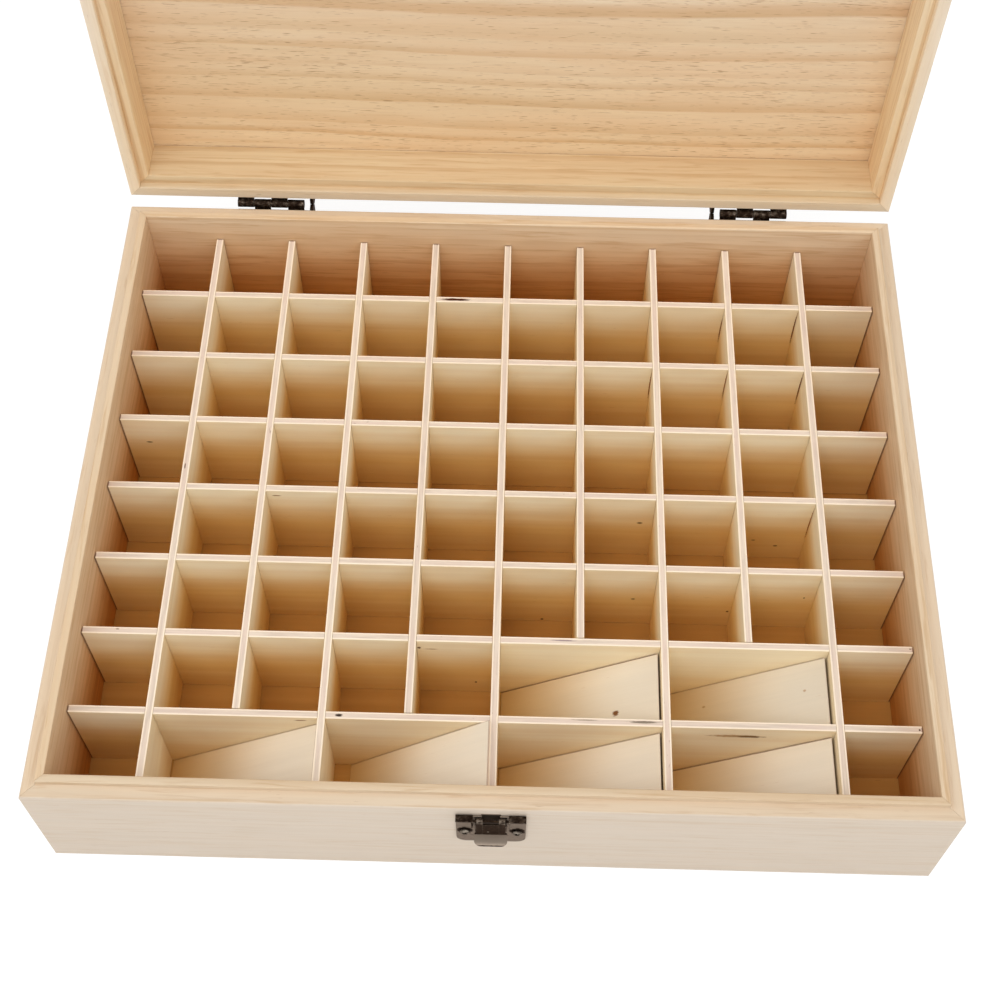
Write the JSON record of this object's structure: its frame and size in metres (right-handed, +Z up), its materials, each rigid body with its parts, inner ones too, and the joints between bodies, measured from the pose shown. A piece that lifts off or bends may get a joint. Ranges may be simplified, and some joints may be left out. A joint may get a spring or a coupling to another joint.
{
  "type": "divided storage box",
  "caption": "Open pine storage box: hinged lid on stop hinges, slotted plywood grid of small cells, sloping boards in the wide cells, and a front latch.",
  "frame": {"origin": "centre of the tray's underside", "axes": "+X to the right seen from the front, +Y towards the hinges at the back, +Z up"},
  "size_m": [0.345, 0.3293, 0.3507],
  "materials": {
    "tray_pine": "bare sanded pine",
    "bottom_ply": "bare plywood",
    "divider_ply": "bare three-ply board with sawn edges",
    "ramp_ply": "bare pale plywood",
    "lid_pine": "bare sanded pine",
    "lid_panel_pine": "bare sanded pine with bold straight grain",
    "antique_bronze": "dark antique bronze, worn at the edges",
    "screw_bronze": "dark antique bronze"
  },
  "bodies": {
    "tray": {"base_front_wall": "tray_pine", "base_back_wall": "tray_pine", "base_left_wall": "tray_pine", "base_right_wall": "tray_pine", "base_bottom_panel": "bottom_ply", "cross_divider_1": "divider_ply", "cross_divider_2": "divider_ply", "cross_divider_3": "divider_ply", "cross_divider_4": "divider_ply", "cross_divider_5": "divider_ply", "cross_divider_6": "divider_ply", "cross_divider_7": "divider_ply", "long_divider_1": "divider_ply", "long_divider_2": "divider_ply", "long_divider_3": "divider_ply", "long_divider_4": "divider_ply", "long_divider_5": "divider_ply", "long_divider_6": "divider_ply", "long_divider_7": "divider_ply", "long_divider_8": "divider_ply", "long_divider_9": "divider_ply", "ramp_board_1": "ramp_ply", "ramp_board_2": "ramp_ply", "ramp_board_3": "ramp_ply", "ramp_board_4": "ramp_ply", "ramp_board_5": "ramp_ply", "ramp_board_6": "ramp_ply", "left_hinge_base_leaf": "antique_bronze", "right_hinge_base_leaf": "antique_bronze", "left_hinge_pin": "antique_bronze", "right_hinge_pin": "antique_bronze", "latch_plate": "antique_bronze", "latch_pin": "antique_bronze", "hinge_base_screw_1": "screw_bronze", "hinge_base_screw_2": "screw_bronze", "hinge_base_screw_3": "screw_bronze", "hinge_base_screw_4": "screw_bronze", "latch_screw_1": "screw_bronze", "latch_screw_2": "screw_bronze"},
    "lid": {"lid_front_rail": "lid_pine", "lid_back_rail": "lid_pine", "lid_left_rail": "lid_pine", "lid_right_rail": "lid_pine", "lid_top_panel": "lid_panel_pine", "left_hinge_lid_leaf": "antique_bronze", "right_hinge_lid_leaf": "antique_bronze", "keeper_plate": "antique_bronze", "hinge_lid_screw_1": "screw_bronze", "hinge_lid_screw_2": "screw_bronze", "hinge_lid_screw_3": "screw_bronze", "hinge_lid_screw_4": "screw_bronze", "keeper_screw_1": "screw_bronze", "keeper_screw_2": "screw_bronze"},
    "lever": {"latch_lever": "antique_bronze"}
  },
  "joints": [
    {"name": "lid_hinge", "type": "hinge", "parent": "tray", "child": "lid", "pos_m": [0, 0.1456, 0.0606], "axis": [1, 0, 0], "range_deg": [0, 91.5]},
    {"name": "lever_hinge", "type": "hinge", "parent": "tray", "child": "lever", "pos_m": [0, -0.1448, 0.0548], "axis": [-1, 0, 0], "range_deg": [0, 75]}
  ]
}
